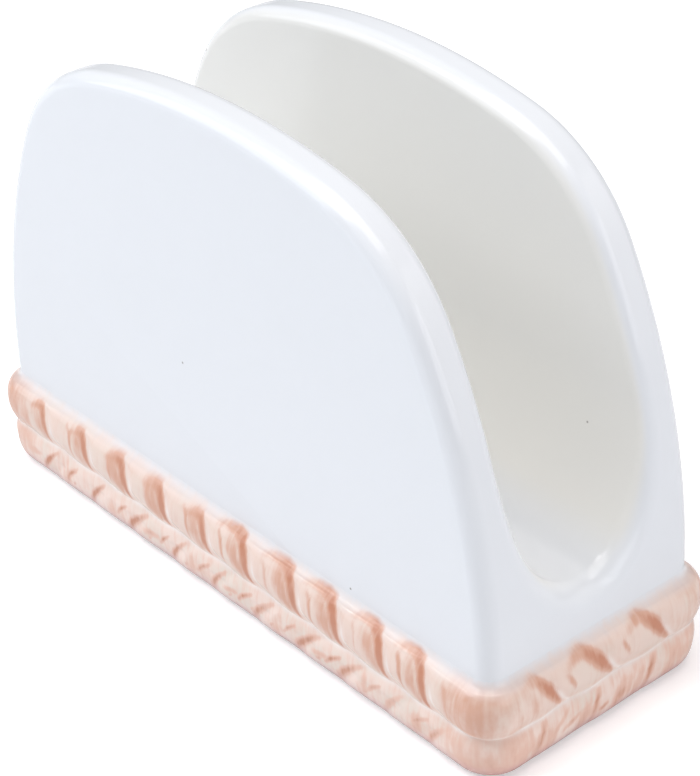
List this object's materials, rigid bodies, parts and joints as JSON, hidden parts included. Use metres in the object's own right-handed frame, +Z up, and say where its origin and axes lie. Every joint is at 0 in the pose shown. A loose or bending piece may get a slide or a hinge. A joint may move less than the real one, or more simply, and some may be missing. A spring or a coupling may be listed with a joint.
{
  "type": "napkin holder",
  "caption": "Upright napkin holder in white glazed ceramic: arched walls, a rounded trough between them and a painted rope band round the foot.",
  "frame": {"origin": "on the surface it stands on, under the middle of the foot", "axes": "+X along the walls, +Y from the front wall to the back wall, +Z up"},
  "size_m": [0.144, 0.0544, 0.0986],
  "materials": {
    "white_glaze": "clear gloss glaze over a white clay body",
    "rope_paint": "brushed peach underglaze, darker in the hollows, under the same clear gloss glaze",
    "bisque_clay": "dry unglazed clay, wiped clean for firing"
  },
  "bodies": {
    "root": {"front_wall": "white_glaze", "back_wall": "white_glaze", "napkin_trough": "white_glaze", "left_end_wall": "white_glaze", "right_end_wall": "white_glaze", "base_plate": "bisque_clay", "foot_ring": "bisque_clay", "front_upper_rope": "rope_paint", "right_upper_rope": "rope_paint", "back_upper_rope": "rope_paint", "left_upper_rope": "rope_paint", "front_lower_rope": "rope_paint", "right_lower_rope": "rope_paint", "back_lower_rope": "rope_paint", "left_lower_rope": "rope_paint"}
  },
  "joints": []
}
